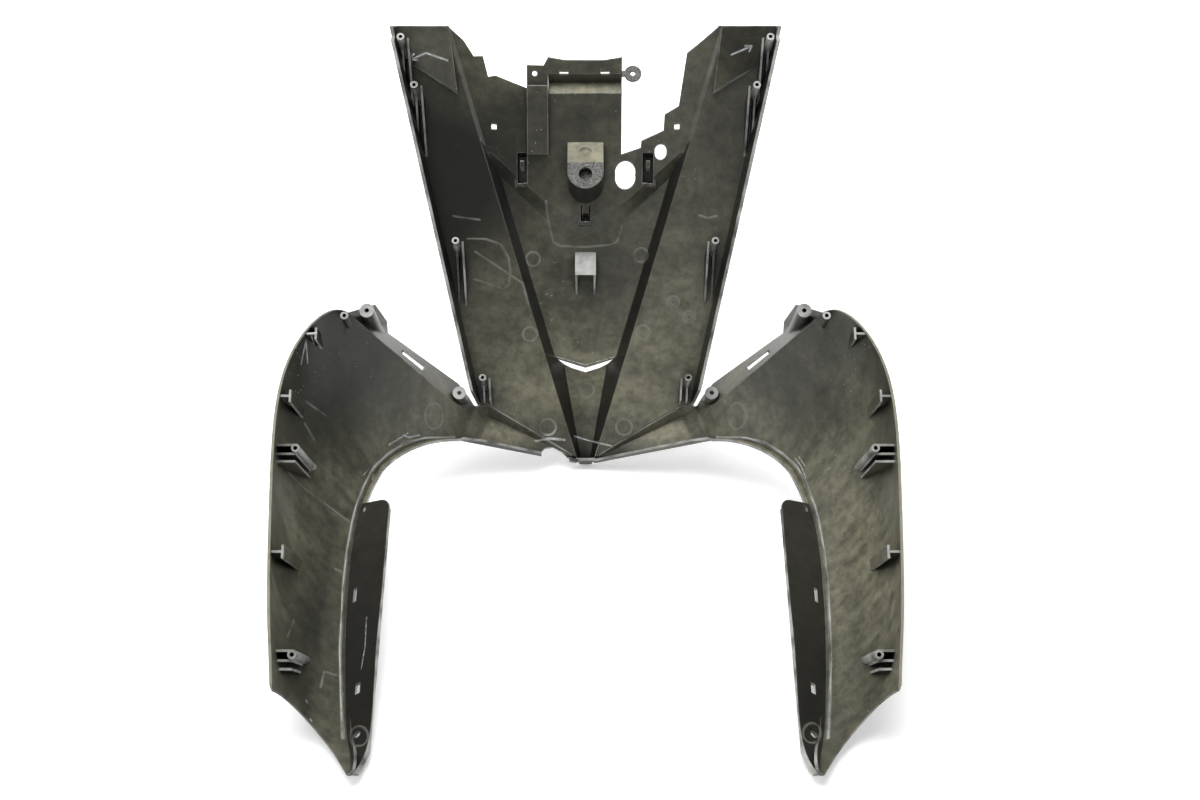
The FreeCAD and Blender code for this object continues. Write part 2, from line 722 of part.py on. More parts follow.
wing_ribs = []
rib = size("rib_wall")
rib_depth = 80.0
x, z, top = WING_POST
wing_ribs.append(pull_cylinder("wing_post", x, top, z, "post_radius", "4 * post_height"))
pilots.append(pull_cylinder("wing_post_pilot", x, top - 1, z, "post_pilot", "post_pilot_depth"))
boss_rib_reach = size("boss_rib_reach")
for i, (x, z, top) in enumerate(WING_BOSSES):
    wing_ribs.append(pull_cylinder("wing_boss_%d" % i, x, top, z, "post_radius", "4 * post_height"))
    pilots.append(pull_cylinder("wing_boss_pilot_%d" % i, x, top - 1, z, "post_pilot", "post_pilot_depth"))
    for k, rise in enumerate(BOSS_RIB_RISES):
        corner = (x, top + size("boss_rib_drop"), z + rise - rib / 2)
        wing_ribs.append(block("wing_boss_rib_%d_%d" % (i, k), corner, (boss_rib_reach, rib_depth, rib)))
for i, (x, z, top) in enumerate(WING_RIBS):
    start = x - size("wing_rib_inset")
    foot = size("wing_rib_foot")
    length = size("wing_rib_length")
    wing_ribs.append(block("wing_rib_%d" % i, (start, top, z - rib / 2), (length, rib_depth, rib)))
    wing_ribs.append(block("wing_rib_foot_%d" % i, (start, top, z - foot / 2), (rib, rib_depth, foot)))
wing_backing = loft("wing_backing", [wing_backing_section(*s) for s in leg_sections], False)
wing_posts = common("wing_posts", fuse("wing_post_blanks", wing_ribs), wing_backing)

lamp_backing_wires = []
overhang = 2 * size("collar_radius")
for place, free in LAMP_EDGE:
    across = unit(Vector(*free) - lamp_root(place))
    root_side = lamp_root(place) - across * overhang
    free_side = Vector(*free) + across * overhang
    rise = Vector(0, -2 * size("collar_length"), 0)
    lamp_backing_wires.append(polygon([root_side, free_side, free_side + rise, root_side + rise]))
lamp_backing = loft("lamp_backing", lamp_backing_wires, True)
collar_blanks = []
for i, (x, z, top) in enumerate(COLLARS):
    collar_blanks.append(pull_cylinder("collar_%d" % i, x, top, z, "collar_radius", "collar_length"))
    pilots.append(pull_cylinder("collar_bore_%d" % i, x, top - 1, z, "collar_bore", "2 * collar_length"))
collars = common("collars", fuse("collar_blanks", collar_blanks), lamp_backing)

# Trims of the right wing: the slanted foot of the leg
leg_foot_prism = rear_prism("leg_foot_prism", [(300.0, LEG_FOOT[0][1])] + LEG_FOOT + [
    (100.0, LEG_FOOT[-1][1]), (100.0, -FAR), (300.0, -FAR)], -FAR, FAR)
wing_blank = fuse("wing_blank", [
    band, bevel_strip, root, shoulder, leg, leg_flange, lamp_flange, wing_posts, collars])
right_wing = cut("right_wing", wing_blank, leg_foot_prism)
left_wing = mirror("left_wing", right_wing)

# Step across the horn: a wedge on the panel
def horn_side(corners, rise):
    front = [Vector(x, panel_y(x, z) - LEVEL_WALL / 2, z) for x, z in corners]
    back = [point - Vector(0, LEVEL_WALL / 2 + rise, 0) for point in front]
    return polygon(front + back[::-1])


horn_step = loft("horn_step", [
    horn_side(HORN_STEP_OUTER, size("bevel_edge")), horn_side(HORN_STEP_INNER, size("horn_step"))], True)
right_posts = fuse("right_posts", [panel_posts, horn_step])
left_posts = mirror("left_posts", right_posts)

# Trims of the shield: the crease above the band, the flat foot, the horn tops and the opening between them
downward = crease.cross(band_normal)
downward = downward if downward.z < 0 else downward * -1.0
square = ((-FAR, -FAR), (FAR, -FAR), (FAR, FAR), (-FAR, FAR))
crease_face = Part.Face(polygon([nose_edge + crease * a + band_normal * b for a, b in square]))
crease_half = feature("crease_half", crease_face.extrude(downward * FAR))
bevel_prism = rear_prism("bevel_prism", bevel_low + bevel_high[::-1], -FAR, FAR)
right_crease = fuse("right_crease", [crease_half, bevel_prism])
left_crease = mirror("left_crease", right_crease)
foot_block = block("foot_block", (-FAR, -FAR, -FAR), (2 * FAR, 2 * FAR, FAR))
opening_prism = rear_prism("opening_prism", HORN_OPENING + [(140.0, FAR), (-140.0, FAR)], -FAR, FAR)
horn_level = -LEAN * size("horn_top") - SWEEP * size("side_top_x")
horn_prism = rear_prism("horn_prism", [
    (-FAR, "horn_top - horn_top_slope * %.1f" % FAR), (FAR, "horn_top - horn_top_slope * %.1f" % FAR),
    (FAR, 3 * FAR), (-FAR, 3 * FAR)], horn_level - FAR, horn_level + FAR, size("horn_top_slope"))
shield_trims = fuse("shield_trims", [right_crease, left_crease, foot_block, opening_prism, horn_prism])
shield_whole = fuse("shield_whole", [shield_blank, right_posts, left_posts])
shield = cut("shield", shield_whole, shield_trims)

# Nose rim between the two bands
rim_x = size("nose_side_x")
rim_front = zone_y(TONGUE_FOOT, 0.0, 0.0) - WALL / 2
rim_back = panel_y(rim_x, 0.0) - size("nose_rim_depth")
nose_rim = feature("nose_rim", Part.Face(polygon([
    Vector(-rim_x, rim_back, 0), Vector(rim_x, rim_back, 0), Vector(rim_x, panel_y(rim_x, 0), 0),
    Vector(0, rim_front, 0), Vector(-rim_x, panel_y(rim_x, 0), 0)])).extrude(Vector(0, 0, WALL)))


# Details of the recess and the centre panel

def recess_inside(x, z):
    return zone_y(RECESS_ZONE, x, z) - LEVEL_WALL


def recess_middle(x, z):
    return zone_y(RECESS_ZONE, x, z) - LEVEL_WALL / 2


def dee(name, inset, y_from):
    """A D-shaped solid along the pull: a round foot under a square top."""
    radius = "boss_half_width - %.4f" % inset
    centre = size("boss_foot") + size("boss_half_width")
    foot = pull_cylinder(name + "_foot", 0, y_from, centre, radius, "boss_front")
    top = block(name + "_top", (0, y_from, centre), (1, 1, 1))
    height = "boss_top - boss_foot - boss_half_width - %.4f" % inset
    bind(top, Length="2 * (%s)" % radius, Width="boss_front", Height=height)
    top.setExpression("Placement.Base.x", formula("%.4f - boss_half_width" % inset))
    return fuse(name, [foot, top])


boss_y = -size("boss_front")
bevel_foot = (boss_y, size("boss_shelf"))
bevel_top = (recess_inside(0.0, size("boss_top")), size("boss_top"))
bevel = side_plate("boss_bevel", 0.0, [
    bevel_foot, bevel_top, (bevel_top[0], 2 * size("boss_top")), (boss_y - WALL, 2 * size("boss_top")),
    (boss_y - WALL, size("boss_shelf"))], 4 * size("boss_half_width"))
boss = common("boss", cut("boss_blank", dee("boss_dee", 0.0, boss_y), bevel), recess_backing)
boss_roof = side_plate("boss_roof", 0.0, [
    (bevel_foot[0] + WALL, bevel_foot[1]), (bevel_top[0] + WALL, bevel_top[1]),
    (boss_y, bevel_top[1]), (boss_y, bevel_foot[1])], 4 * size("boss_half_width"))


def keyhole(name, margin, start, length):
    """A round hole with a slot below it; a margin makes the cup that closes it inside the boss."""
    radius = "keyhole_radius + %.4f" % margin
    hole = pull_cylinder(name + "_round", 0, start, size("keyhole_z"), radius, length)
    slot = doc.addObject("Part::Box", name + "_slot")
    slot.Placement = FreeCAD.Placement(Vector(0, start, 0), FreeCAD.Rotation())
    width = "keyhole_slot + 2 * %.4f" % margin
    bind(slot, Length=width, Width=length, Height="2 * keyhole_radius + %.4f" % margin)
    slot.setExpression("Placement.Base.x", formula("-(%s) / 2" % width))
    slot.setExpression("Placement.Base.z", formula("keyhole_z - 2 * keyhole_radius - %.4f" % margin))
    return fuse(name, [hole, slot])


keyhole_cup = keyhole("keyhole_cup", WALL, boss_y, "keyhole_depth + wall")
keyhole_hole = keyhole("keyhole", 0.0, boss_y - 1, "keyhole_depth + 1")
boss_kept = fuse("boss_kept", [boss_roof, keyhole_cup])
boss_hollow = cut("boss_hollow", dee("boss_inside", WALL, boss_y + WALL), boss_kept)

channel_low, channel_high = size("channel_foot"), size("channel_top")
channel_knee = size("channel_knee")
channel_floor = zone_y(RECESS_ZONE, 0.0, channel_knee) + size("channel_depth")
plate_left, plate_right = HORN_OPENING[9][0], HORN_OPENING[12][0]
plate_centre = (plate_left + plate_right) / 2
channel_wall = [
    (recess_middle(0, channel_low - WALL), channel_low - WALL), (channel_floor, channel_knee - WALL / 2),
    (channel_floor, channel_knee + WALL), (recess_middle(0, channel_high + WALL), channel_high + WALL)]
channel_inside = [
    (recess_inside(0, channel_high), channel_high), (channel_floor - WALL, channel_knee),
    (recess_inside(0, channel_low), channel_low)]
channel = side_plate("channel", plate_centre, channel_wall + channel_inside, plate_right - plate_left)
channel_mouth = [(recess_inside(0, z) - 2 * WALL, z) for z in (channel_low, channel_high)]
channel_space = side_plate(
    "channel_space", plate_centre, channel_inside + channel_mouth, plate_right - plate_left)

block_left, block_right = HORN_OPENING[6][0], plate_left
block_foot, block_top = size("block_foot"), HORN_OPENING[6][1]
block_x = (block_left + block_right) / 2
raised_block = side_plate("raised_block", block_x, [
    (recess_middle(block_x, block_foot), block_foot), (recess_middle(block_x, block_top), block_top),
    (recess_inside(block_x, block_top) - size("block_height"), block_top),
    (recess_inside(block_x, block_foot) - size("block_height"), block_foot)], block_right - block_left)

tab_x = plate_right + size("tab_radius") + 2
tab_y = recess_inside(plate_right, size("tab_z"))
tab_ring = pull_cylinder("tab_ring", tab_x, tab_y, size("tab_z"), "tab_radius", "wall")
tab_arm = block("tab_arm", (plate_right - WALL, tab_y, size("tab_z") - WALL), (3 * WALL, WALL, 2 * WALL))
tab_holes = [pull_cylinder("tab_hole_%d" % i, x, -FAR, size("tab_z"), "tab_hole", "%.1f" % FAR)
             for i, x in enumerate((-size("left_tab_x"), tab_x))]



def pocket_plate(name, x, width, low, high, back, front):
    """A plate along the recess, from one depth behind its outer face to another in front of it."""
    return side_plate(name, x, [
        (zone_y(RECESS_ZONE, x, low) - back, low), (zone_y(RECESS_ZONE, x, high) - back, high),
        (zone_y(RECESS_ZONE, x, high) + front, high), (zone_y(RECESS_ZONE, x, low) + front, low)], width)


pocket_walls, pocket_spaces = [], []
for i, (x, width, low, high, hook_width, hook_low, hook_high) in enumerate(POCKETS):
    depth = size("pocket_depth")
    pocket_walls.append(pocket_plate(
        "pocket_wall_%d" % i, x, width + 2 * WALL, low - WALL, high + WALL, LEVEL_WALL / 2, depth + WALL))
    space = pocket_plate("pocket_space_%d" % i, x, width, low, high, 4 * LEVEL_WALL, depth)
    hook = pocket_plate("pocket_hook_%d" % i, x, hook_width, hook_low, hook_high, LEVEL_WALL, 2 * depth)
    pocket_spaces.append(cut("pocket_%d" % i, space, hook))


def centre_inside(z):
    return zone_y(CENTRE_ZONE, 0.0, z) - LEVEL_WALL


def bracket_profile(inset):
    face = centre_inside(size("bracket_edge")) - size("bracket_height") + inset
    low = size("bracket_shelf") + inset
    edge = size("bracket_edge") - inset / 2
    top = size("bracket_top") - inset
    return [(centre_inside(low) + WALL / 2 + 2 * inset, low), (face, low), (face, edge),
            (centre_inside(top) + inset, top), (centre_inside(top) + WALL / 2 + 2 * inset, top)]


bracket_width = 2 * size("bracket_half_width")
bracket = side_plate("bracket", 0.0, bracket_profile(0.0), bracket_width)
bracket_hollow = side_plate("bracket_hollow", 0.0, bracket_profile(WALL), bracket_width - 2 * WALL)
bracket_face = bracket_profile(0.0)[1]
bracket_legs = []
for side in (-1, 1):
    leg_x = side * (bracket_width - WALL) / 2
    bracket_legs.append(side_plate("bracket_leg_%d" % (side + 1), leg_x, [
        (centre_inside(size("bracket_foot")) + WALL / 2, size("bracket_foot")), bracket_face,
        (centre_inside(size("bracket_shelf")) + WALL / 2, size("bracket_shelf"))], size("rib_wall")))

moulding = fuse("moulding", [
    shield, right_wing, left_wing, nose_rim, boss, channel, raised_block, tab_ring, tab_arm, bracket,
] + pocket_walls + bracket_legs)

# Openings, bores and breaks
openings = [boss_hollow, channel_space, bracket_hollow, keyhole_hole] + tab_holes + pocket_spaces
for i, (x, z, width, height) in enumerate(RECESS_WINDOWS):
    depth = 4 * size("block_height")
    corner = (x - width / 2, recess_middle(x, z) - depth / 2, z - height / 2)
    openings.append(block("recess_window_%d" % i, corner, (width, depth, height)))
for i, (x, z, radius) in enumerate(RECESS_HOLES):
    openings.append(pull_cylinder("recess_hole_%d" % i, x, -FAR, z, "%.2f" % radius, "%.1f" % FAR))
bevel_slope = Vector(0, bevel_top[0] - bevel_foot[0], bevel_top[1] - bevel_foot[1])
dimple_share = (size("dimple_z") - bevel_foot[1]) / bevel_slope.z
dimple_rise = math.sqrt(size("dimple_sphere") ** 2 - size("dimple_radius") ** 2)
dimple_normal = unit(Vector(0, -bevel_slope.z, bevel_slope.y))
dimple = doc.addObject("Part::Sphere", "dimple")
bind(dimple, Radius="dimple_sphere")
dimple_centre = Vector(0, *bevel_foot) + bevel_slope * dimple_share + dimple_normal * dimple_rise
dimple.Placement = FreeCAD.Placement(dimple_centre, FreeCAD.Rotation())
openings.append(dimple)
for pilot in pilots:
    openings += [pilot, mirror(pilot.Name + "_left", pilot)]

vent_end = 0.93 * size("vent_end_x")
vent_foot, vent_gap = size("vent_foot"), size("vent_gap")
vent_rise = (size("vent_end_z") - vent_foot) * vent_end / size("vent_end_x")
vent_middle = vent_foot + vent_rise / 3 - vent_gap / 2
openings.append(rear_prism("vent_slit", [
    (-vent_end, vent_foot + vent_rise), (0.0, vent_foot), (vent_end, vent_foot + vent_rise),
    (vent_end / 2, vent_middle), (0.0, vent_foot - vent_gap), (-vent_end / 2, vent_middle)], -100.0, 60.0))

break_low = -40.0
openings.append(rear_prism("nose_break", [(NOSE_BREAK[0][0], break_low)] + NOSE_BREAK + [
    (NOSE_BREAK[-1][0], break_low)], -60.0, 60.0))
tear_x = size("side_top_x") + WALL
tear_outside = [(-FAR, HORN_TEAR[-1][1]), (-FAR, HORN_TEAR[0][1])]
tear = side_plate("horn_tear_right", tear_x, HORN_TEAR + tear_outside, 6 * WALL)
openings += [tear, mirror("horn_tear_left", tear)]
finished = cut("finished", moulding, fuse("openings", openings))

doc.recompute()
for obj in doc.Objects:
    if "Invalid" in obj.State or "Error" in obj.State:
        raise RuntimeError("%s is not up to date" % obj.Name)
    if hasattr(obj, "Shape") and (obj.Shape.isNull() or not obj.Shape.isValid()):
        raise RuntimeError("%s has no valid shape" % obj.Name)

# Standing pose: turned about X until the nose and the two leg tips touch one floor
mesh_points, mesh_facets = finished.Shape.tessellate(0.5)
front_points = [p for p in mesh_points if p.y > -100]
rear_points = [p for p in mesh_points if p.y < -200]


def floor_height(points, angle):
    return min(p.z * math.cos(angle) - p.y * math.sin(angle) for p in points)


low_angle, high_angle = math.radians(20), math.radians(70)
HALVINGS = 40
for step in range(HALVINGS):
    angle = (low_angle + high_angle) / 2
    if floor_height(front_points, angle) > floor_height(rear_points, angle):
        low_angle = angle
    else:
        high_angle = angle

shell = feature(NODE, finished.Shape)
shell.Label = NODE
turn = FreeCAD.Rotation(Vector(1, 0, 0), -math.degrees(angle))
standing = [turn.multVec(p) for p in mesh_points]
middle = [(min(values) + max(values)) / 2 for values in zip(*[(p.x, p.y) for p in standing])]
shell.Placement = FreeCAD.Placement(Vector(-middle[0], -middle[1], -min(p.z for p in standing)), turn)
doc.recompute()

os.makedirs("parts", exist_ok=True)
shell.Shape.exportStep("parts/%s.step" % shell.Label)
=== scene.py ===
# %% [markdown]
# The front fairing of a scooter, seen from its inner side as it stands on its nose and its two leg tips.
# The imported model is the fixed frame: everything that follows is measured from it and sits on it.

# %% Load the frame
import bmesh
import bpy
import math
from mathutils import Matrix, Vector
from mathutils.bvhtree import BVHTree


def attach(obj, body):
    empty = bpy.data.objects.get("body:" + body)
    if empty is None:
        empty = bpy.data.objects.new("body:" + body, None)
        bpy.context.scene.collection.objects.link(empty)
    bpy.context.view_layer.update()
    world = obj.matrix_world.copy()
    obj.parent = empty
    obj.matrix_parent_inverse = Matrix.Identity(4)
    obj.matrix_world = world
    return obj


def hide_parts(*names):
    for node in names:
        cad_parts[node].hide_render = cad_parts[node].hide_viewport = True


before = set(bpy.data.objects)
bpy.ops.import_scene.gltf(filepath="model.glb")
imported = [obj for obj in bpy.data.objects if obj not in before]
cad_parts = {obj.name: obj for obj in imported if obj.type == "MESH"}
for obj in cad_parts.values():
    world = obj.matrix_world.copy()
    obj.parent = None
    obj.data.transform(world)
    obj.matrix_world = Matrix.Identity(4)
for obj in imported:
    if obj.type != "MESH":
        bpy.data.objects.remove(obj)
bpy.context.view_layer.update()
shell_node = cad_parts["front_fairing_shell"]

# %% [markdown]
# The camera stands in the fairing's plane of symmetry, a little over a metre away, and looks down at it.
# The photograph is framed a little off centre, so a small lens shift moves the picture and keeps the view
# straight.

# %% Camera
IMAGE_WIDTH, IMAGE_HEIGHT = 1200, 800
FOCAL_PIXELS = 1400.0
CAMERA_PLACE = (0.0, -0.96749, 0.70793)
CAMERA_PITCH = math.radians(29.323)
CENTRE_PIXEL = 585.5

camera_data = bpy.data.cameras.new("camera")
camera_data.sensor_width = 36.0
camera_data.lens = FOCAL_PIXELS / IMAGE_WIDTH * camera_data.sensor_width
camera_data.shift_x = (IMAGE_WIDTH / 2 - CENTRE_PIXEL) / IMAGE_WIDTH
camera = bpy.data.objects.new("camera", camera_data)
camera.location = CAMERA_PLACE
camera.rotation_euler = (math.pi / 2 - CAMERA_PITCH, 0.0, 0.0)
bpy.context.collection.objects.link(camera)
bpy.context.scene.camera = camera
bpy.context.scene.view_settings.view_transform = "Standard"
print("lens", round(camera_data.lens, 2))

# %% [markdown]
# A studio sweep is one sheet of white card: a floor that curves up into a wall. A bmesh grid would need its
# rows lifted one by one, so a single edge is swept instead: extruded, and lifted as it goes.

# %% Floor and wall
FLOOR_WIDTH = 9.0
FLOOR_FRONT = -5.0
WALL_START = 1.35
WALL_HEIGHT = 5.0
SWEEP_RADIUS = 0.12
ARC_STEPS = 12
sweep_mesh = bpy.data.meshes.new("sweep")
bm = bmesh.new()
front_edge = [bm.verts.new((side * FLOOR_WIDTH / 2, FLOOR_FRONT, 0.0)) for side in (-1, 1)]
edge = bm.edges.new(front_edge)
steps = [(0.0, WALL_START - FLOOR_FRONT, 0.0)]
for i in range(ARC_STEPS):
    a, b = (math.pi / 2 * k / ARC_STEPS for k in (i, i + 1))
    forward, up = math.sin(b) - math.sin(a), math.cos(a) - math.cos(b)
    steps.append((0.0, SWEEP_RADIUS * forward, SWEEP_RADIUS * up))
steps.append((0.0, 0.0, WALL_HEIGHT))
for step in steps:
    made = bmesh.ops.extrude_edge_only(bm, edges=[edge])["geom"]
    verts = [g for g in made if isinstance(g, bmesh.types.BMVert)]
    edge = next(g for g in made if isinstance(g, bmesh.types.BMEdge) and set(g.verts) == set(verts))
    bmesh.ops.translate(bm, verts=verts, vec=step)
bmesh.ops.recalc_face_normals(bm, faces=bm.faces)
for face in bm.faces:
    face.smooth = True
bm.to_mesh(sweep_mesh)
bm.free()
sweep = bpy.data.objects.new("sweep", sweep_mesh)
bpy.context.collection.objects.link(sweep)
print("sweep faces", len(sweep_mesh.polygons))

# %% [markdown]
# White card in a bright room reads as pure white. More lamps would burn out the fairing too, so the card's
# own material adds a little glow, for the camera and for reflections only. The card still takes the
# fairing's shadow. For reflections the glow ends in front of the camera, because the fairing's dark side
# mirrors an unlit room there. For the camera it grows away from the fairing, so that the card is white from
# every side.

# %% White card
CARD_GLOW = 0.34
CARD_COLOUR = (0.86, 0.86, 0.86, 1.0)
card = bpy.data.materials.new("white_card")
card.use_nodes = True
nodes, links = card.node_tree.nodes, card.node_tree.links
nodes.clear()
card_out = nodes.new("ShaderNodeOutputMaterial")
card_add = nodes.new("ShaderNodeAddShader")
card_face = nodes.new("ShaderNodeBsdfDiffuse")
card_face.inputs["Color"].default_value = CARD_COLOUR
card_glow = nodes.new("ShaderNodeEmission")
card_path = nodes.new("ShaderNodeLightPath")
card_place = nodes.new("ShaderNodeTexCoord")
card_parts = nodes.new("ShaderNodeSeparateXYZ")
links.new(card_place.outputs["Object"], card_parts.inputs["Vector"])
card_strength = nodes.new("ShaderNodeMath")
card_strength.operation = "ADD"
card_away = nodes.new("ShaderNodeVectorMath")
card_away.operation = "LENGTH"
links.new(card_place.outputs["Object"], card_away.inputs[0])
GLOWS = [("Is Camera Ray", card_away.outputs["Value"], 1.4, 0.9, 1.0),
         ("Is Glossy Ray", card_parts.outputs["Y"], -1.5, -0.8, 0.0)]
for k, (ray, measure, far, near, far_glow) in enumerate(GLOWS):
    by_distance = nodes.new("ShaderNodeMapRange")
    for socket, value in (("From Min", far), ("From Max", near), ("To Min", far_glow), ("To Max", CARD_GLOW)):
        by_distance.inputs[socket].default_value = value
    seen = nodes.new("ShaderNodeMath")
    seen.operation = "MULTIPLY"
    links.new(measure, by_distance.inputs["Value"])
    links.new(by_distance.outputs["Result"], seen.inputs[0])
    links.new(card_path.outputs[ray], seen.inputs[1])
    links.new(seen.outputs[0], card_strength.inputs[k])
links.new(card_strength.outputs[0], card_glow.inputs["Strength"])
links.new(card_face.outputs[0], card_add.inputs[0])
links.new(card_glow.outputs[0], card_add.inputs[1])
links.new(card_add.outputs[0], card_out.inputs["Surface"])
sweep_mesh.materials.append(card)
print("card", card.name)

# %% [markdown]
# Black plastic shows light mostly as reflections, so the lamps are placed by what each face mirrors. A wide
# softbox overhead, a little to the left, whitens the faces that are square to the mould's pull, such as the
# post rings. A window-like panel behind the camera, at its left, is mirrored by the right-hand panel, and
# the left one stays dark. A lower panel at each side reaches into the wing and leg across from it. The room
# is dim, and white to the camera only.

# %% Lights
ROOM_LEVEL = 0.12
world = bpy.data.worlds.new("room")
bpy.context.scene.world = world
world.use_nodes = True
room = world.node_tree.nodes["Background"]
room.inputs["Color"].default_value = (1.0, 1.0, 1.0, 1.0)
room_path = world.node_tree.nodes.new("ShaderNodeLightPath")
room_strength = world.node_tree.nodes.new("ShaderNodeMapRange")
room_strength.inputs["To Min"].default_value = ROOM_LEVEL
room_strength.inputs["To Max"].default_value = 1.0
world.node_tree.links.new(room_path.outputs["Is Camera Ray"], room_strength.inputs["Value"])
world.node_tree.links.new(room_strength.outputs["Result"], room.inputs["Strength"])


def soft_panel(name, place, aim, width, height, watts):
    data = bpy.data.lights.new(name, "AREA")
    data.shape = "RECTANGLE"
    data.size, data.size_y, data.energy = width, height, watts
    lamp = bpy.data.objects.new(name, data)
    lamp.location = place
    lamp.rotation_euler = (Vector(aim) - Vector(place)).to_track_quat("-Z", "Y").to_euler()
    lamp.visible_camera = False
    bpy.context.collection.objects.link(lamp)


soft_panel("overhead", (-0.25, -0.25, 2.2), (-0.1, -0.1, 0.0), 1.3, 1.75, 58.0)
soft_panel("left_window", (-1.30, -3.5, 0.95), (0.0, 0.1, 0.2), 2.1, 1.7, 18.0)
soft_panel("left_side", (-1.9, 0.3, 1.1), (0.15, 0.0, 0.1), 1.2, 1.2, 15.0)
soft_panel("right_side", (1.7, -0.5, 0.9), (-0.2, -0.1, 0.08), 0.9, 0.9, 11.0)

# %% [markdown]
# The moulding itself is the CAD shell. Its mesh comes as loose triangles, so a copy is merged into one
# skin. Faces are shaded smooth, and edges that turn sharply are marked sharp, so that curved walls flow and
# corners stay crisp. The tree of faces is kept, because later marks are laid on the skin with it.

# %% The moulding
MERGE = 1e-5
CREASE_ANGLE = math.radians(22.5)
moulding_mesh = shell_node.data.copy()
moulding_mesh.name = "fairing_moulding"
moulding_mesh.materials.clear()
bm = bmesh.new()
bm.from_mesh(moulding_mesh)
bmesh.ops.remove_doubles(bm, verts=bm.verts, dist=MERGE)
for face in bm.faces:
    face.smooth = True
for edge in bm.edges:
    edge.smooth = len(edge.link_faces) == 2 and edge.calc_face_angle(0.0) < CREASE_ANGLE
surface = BVHTree.FromBMesh(bm)
print("moulding faces", len(bm.faces))

# %% [markdown]
# The bevel of the keyhole boss turns so little from the face below it that it would be smoothed into it.
# The largest face that looks up on the boss gives the bevel's direction, and every border of that plane is
# made sharp.


# %% Bevel of the boss
BOSS_HALF_WIDTH, BOSS_LOW, BOSS_HIGH = 0.022, 0.24, 0.30
BEVEL_UP = 0.75
SAME_PLANE = math.radians(1.5)


def on_boss(face):
    centre = face.calc_center_median()
    return abs(centre.x) < BOSS_HALF_WIDTH and BOSS_LOW < centre.z < BOSS_HIGH


looks_up = [face for face in bm.faces if on_boss(face) and face.normal.z > BEVEL_UP]
bevel = max(looks_up, key=lambda face: face.calc_area()).normal.copy()
borders = [edge for face in looks_up if face.normal.angle(bevel) < SAME_PLANE for edge in face.edges]
for edge in borders:
    edge.smooth = edge.calc_face_angle(0.0) < SAME_PLANE
print("bevel looks along", [round(part, 3) for part in bevel])
print("sharp borders", sum(not edge.smooth for edge in borders))

# %% [markdown]
# One moulding, five finishes: the dusty inner side, the polished outer side, the edges of the thin wall,
# painted pale for rubbed wear and for a painted highlight, faces painted dark as painted shade, and a few
# pitted faces. Faces are sorted by how the moulding is made. The mould opens along one line, the pull: a
# face that looks forward along it, with nothing in front of it, is outside. A narrow face with much plastic
# behind it is the edge of a wall, because a wall is thin the other way. The shaded faces are the leg flanges,
# which lie inside the leg's ridge, and the shield's steps, side flanges and ribs, which look sideways: their
# dark colour is painted shade. The boss's face and the ring tab are pitted, and the bracket's top is painted
# pale as a painted highlight of the overhead softbox: they are found by their place. A patch is all that can
# be reached without crossing a sharp edge. Its faces vote by area, so a finish ends at a corner.

# %% Sorting the faces
LEAN = math.radians(44.524)
PULL = Vector((0.0, math.cos(LEAN), -math.sin(LEAN)))
LEG_LINE = Vector((0.0, math.sin(LEAN), math.cos(LEAN)))
FOOT_LEVEL = Vector((0.0, 0.1596, 0.0076)).dot(LEG_LINE)
FORWARD_SHARE = 0.03
CLEAR = 0.0002
THICK, NARROW = 0.0045, 0.0040
SIDEWAYS, SHIELD_START = 0.75, 0.15
FINISHES = 5
INSIDE, OUTSIDE, EDGE_AND_HIGHLIGHT, SHADED, PITTED = range(FINISHES)
LIP_HALF_WIDTH, LIP_LOW, TAB_START = 0.06, 0.33, 0.036
BRACKET_HALF_WIDTH, BRACKET_LOW, BRACKET_HIGH, BRACKET_UP = 0.012, 0.15, 0.235, 0.74
RIDGE_MARGIN = 0.003
SQUARE_TO_PULL = -0.995
LEG_RIDGE = [
    (-0.295, 0.158), (-0.262, 0.172), (-0.214, 0.1825), (-0.154, 0.1895), (-0.110, 0.192), (-0.062, 0.188),
]


def ridge_at(level):
    for (low, start), (high, end) in zip(LEG_RIDGE, LEG_RIDGE[1:]):
        if low <= level <= high:
            return start + (end - start) * (level - low) / (high - low)
    return 0.0


def finish_of(face):
    centre = face.calc_center_median()
    level = centre.dot(LEG_LINE) - FOOT_LEVEL
    behind = surface.ray_cast(centre - face.normal * CLEAR, -face.normal)[3]
    width = 2 * face.calc_area() / max(edge.calc_length() for edge in face.edges)
    by_the_lip = abs(centre.x) < LIP_HALF_WIDTH and centre.z > LIP_LOW
    by_the_bracket = abs(centre.x) < BRACKET_HALF_WIDTH and BRACKET_LOW < centre.z < BRACKET_HIGH
    if behind and behind > THICK and width < NARROW and not by_the_lip:
        return EDGE_AND_HIGHLIGHT
    # Painted highlight: the bracket's up-facing top gets the pale edge finish, in place of the overhead
    # softbox's reflection.
    if by_the_bracket and face.normal.z > BRACKET_UP:
        return EDGE_AND_HIGHLIGHT
    # Painted shade: leg flanges inside the ridge get the dark shaded finish.
    if abs(centre.x) < ridge_at(level) - RIDGE_MARGIN:
        return SHADED
    if on_boss(face) and face.normal.dot(PULL) < SQUARE_TO_PULL:
        return PITTED
    if by_the_lip and centre.x > TAB_START:
        return PITTED
    if face.normal.dot(PULL) > FORWARD_SHARE and not surface.ray_cast(centre + face.normal * CLEAR, PULL)[0]:
        return OUTSIDE
    # Painted shade: shield faces that look sideways get the dark shaded finish.
    if abs(face.normal.x) > SIDEWAYS and centre.y > SHIELD_START:
        return SHADED
    return INSIDE


def smooth_patch(start):
    patch, waiting = {start}, [start]
    while waiting:
        for edge in waiting.pop().edges:
            fresh = [face for face in edge.link_faces if edge.smooth and face not in patch]
            patch.update(fresh)
            waiting.extend(fresh)
    return patch


